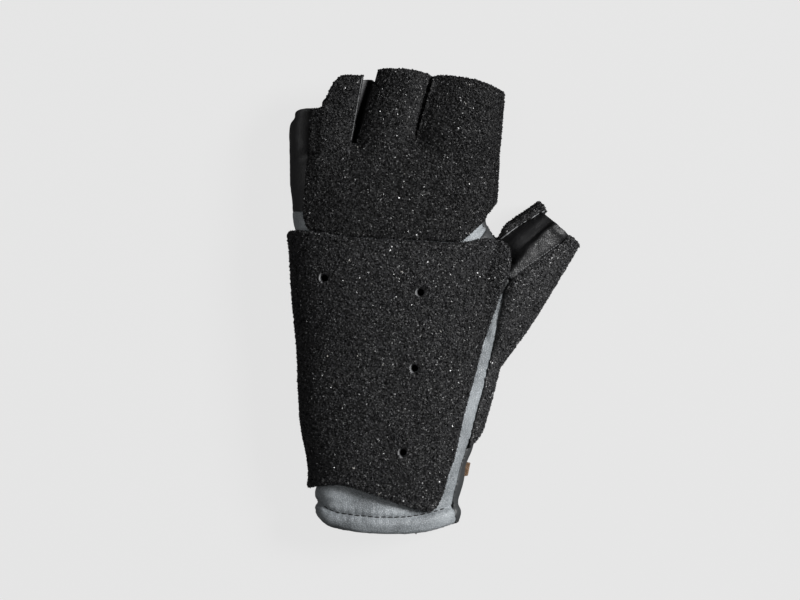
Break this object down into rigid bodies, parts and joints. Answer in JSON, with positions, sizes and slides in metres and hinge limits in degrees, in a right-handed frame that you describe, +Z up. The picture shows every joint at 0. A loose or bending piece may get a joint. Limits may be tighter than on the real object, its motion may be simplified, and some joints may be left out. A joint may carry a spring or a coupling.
{
  "type": "shooting glove",
  "caption": "Fingerless left-hand target-shooting glove of leather with crumb-rubber grip sheets, lying palm down.",
  "frame": {"origin": "on the surface that the glove lies on, under the middle of the outline seen from above", "axes": "+X towards the thumb, +Y towards the fingertips, +Z up, out of the back of the hand"},
  "size_m": [0.135, 0.2142, 0.0387],
  "materials": {
    "light_leather": "smooth light grey leather, satin, with fine grain and soft folds",
    "dark_leather": "dark grey leather, satin, fine grain",
    "smooth_leather": "black leather, smooth, satin",
    "crumb_rubber": "black bonded rubber crumb, rough and granular, with small glints",
    "tan_ribbon": "tan woven ribbon, matt"
  },
  "bodies": {
    "root": {"back_leather": "light_leather", "palm_leather": "dark_leather", "little_finger_stall": "smooth_leather", "ring_finger_stall": "smooth_leather", "middle_finger_stall": "smooth_leather", "index_finger_stall": "smooth_leather", "thumb_stall": "smooth_leather", "finger_grip": "crumb_rubber", "back_grip": "crumb_rubber", "thumb_grip": "crumb_rubber", "palm_grip": "crumb_rubber", "side_tab": "tan_ribbon"}
  },
  "joints": []
}
